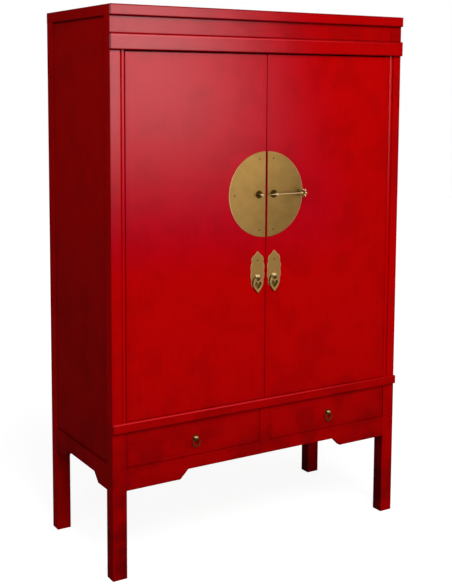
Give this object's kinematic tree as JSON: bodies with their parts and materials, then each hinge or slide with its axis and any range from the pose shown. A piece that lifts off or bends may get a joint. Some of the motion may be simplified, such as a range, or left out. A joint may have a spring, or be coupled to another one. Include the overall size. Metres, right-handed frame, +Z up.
{
  "type": "wedding cabinet",
  "caption": "Tall lacquered cupboard on square legs with a pair of pivoting doors, a round brass face plate with a sliding lock pin, heart pulls, and a row of ring-pull drawers below.",
  "frame": {"origin": "on the floor, below the middle of the whole cabinet with its hardware", "axes": "+Z up, the doors face -Y, +X to the right seen from the front"},
  "size_m": [1.2, 0.5575, 1.9],
  "materials": {
    "red_lacquer": "deep red lacquer, satin gloss, slightly mottled, darker in grooves and along edges",
    "plain_wood": "plain planed softwood with a thin clear sealer",
    "brass": "antique satin brass with fine brushing",
    "pivot_steel": "plain turned steel pin"
  },
  "bodies": {
    "carcass": {"front_left_post": "red_lacquer", "front_right_post": "red_lacquer", "back_left_post": "red_lacquer", "back_right_post": "red_lacquer", "left_bead_strip": "red_lacquer", "right_bead_strip": "red_lacquer", "top_left_rail": "red_lacquer", "top_right_rail": "red_lacquer", "left_apron": "red_lacquer", "right_apron": "red_lacquer", "left_side_panel": "red_lacquer", "right_side_panel": "red_lacquer", "left_drawer_runner": "plain_wood", "right_drawer_runner": "plain_wood", "cornice": "red_lacquer", "top_back_rail": "red_lacquer", "top_panel": "red_lacquer", "frieze_rail": "red_lacquer", "upper_moulding": "red_lacquer", "waist_rail": "red_lacquer", "waist_moulding": "red_lacquer", "back_waist_rail": "plain_wood", "front_apron": "red_lacquer", "back_apron": "red_lacquer", "back_panel": "plain_wood", "floor_board": "plain_wood", "lower_shelf": "plain_wood", "upper_shelf": "plain_wood", "shelf_cleats": "plain_wood", "drawer_divider": "red_lacquer", "centre_drawer_runner": "plain_wood"},
    "left_door": {"left_door": "red_lacquer", "left_door_pivots": "pivot_steel", "left_half_disc": "brass", "left_door_nails": "brass", "left_eye_post": "brass", "left_pull_plate": "brass", "left_pull_boss": "brass"},
    "right_door": {"right_door": "red_lacquer", "right_door_pivots": "pivot_steel", "right_half_disc": "brass", "right_door_nails": "brass", "right_eye_post": "brass", "right_pull_plate": "brass", "right_pull_boss": "brass"},
    "lock_pin": {"lock_pin": "brass"},
    "left_pendant": {"left_pull_pendant": "brass"},
    "right_pendant": {"right_pull_pendant": "brass"},
    "left_drawer": {"left_drawer_front": "red_lacquer", "left_drawer_sides": "plain_wood", "left_drawer_back": "plain_wood", "left_drawer_bottom": "plain_wood", "left_ring_boss": "brass"},
    "right_drawer": {"right_drawer_front": "red_lacquer", "right_drawer_sides": "plain_wood", "right_drawer_back": "plain_wood", "right_drawer_bottom": "plain_wood", "right_ring_boss": "brass"},
    "left_ring": {"left_drawer_ring": "brass"},
    "right_ring": {"right_drawer_ring": "brass"}
  },
  "joints": [
    {"name": "left_door_hinge", "type": "hinge", "parent": "carcass", "child": "left_door", "pos_m": [-0.535, -0.23375, 1.1], "axis": [0, 0, -1], "range_deg": [0, 105]},
    {"name": "right_door_hinge", "type": "hinge", "parent": "carcass", "child": "right_door", "pos_m": [0.535, -0.23375, 1.1], "axis": [0, 0, 1], "range_deg": [0, 105]},
    {"name": "lock_pin_slide", "type": "slide", "parent": "right_door", "child": "lock_pin", "axis": [1, 0, 0], "range_m": [-0.0885, 0]},
    {"name": "left_pendant_hinge", "type": "hinge", "parent": "left_door", "child": "left_pendant", "pos_m": [-0.035, -0.24635, 0.9735], "axis": [-1, 0, 0], "range_deg": [0, 90]},
    {"name": "right_pendant_hinge", "type": "hinge", "parent": "right_door", "child": "right_pendant", "pos_m": [0.035, -0.24635, 0.9735], "axis": [-1, 0, 0], "range_deg": [0, 90]},
    {"name": "left_drawer_slide", "type": "slide", "parent": "carcass", "child": "left_drawer", "axis": [0, -1, 0], "range_m": [0, 0.32]},
    {"name": "right_drawer_slide", "type": "slide", "parent": "carcass", "child": "right_drawer", "axis": [0, -1, 0], "range_m": [0, 0.32]},
    {"name": "left_ring_hinge", "type": "hinge", "parent": "left_drawer", "child": "left_ring", "pos_m": [-0.28375, -0.24745, 0.4375], "axis": [-1, 0, 0], "range_deg": [0, 90]},
    {"name": "right_ring_hinge", "type": "hinge", "parent": "right_drawer", "child": "right_ring", "pos_m": [0.28375, -0.24745, 0.4375], "axis": [-1, 0, 0], "range_deg": [0, 90]}
  ]
}
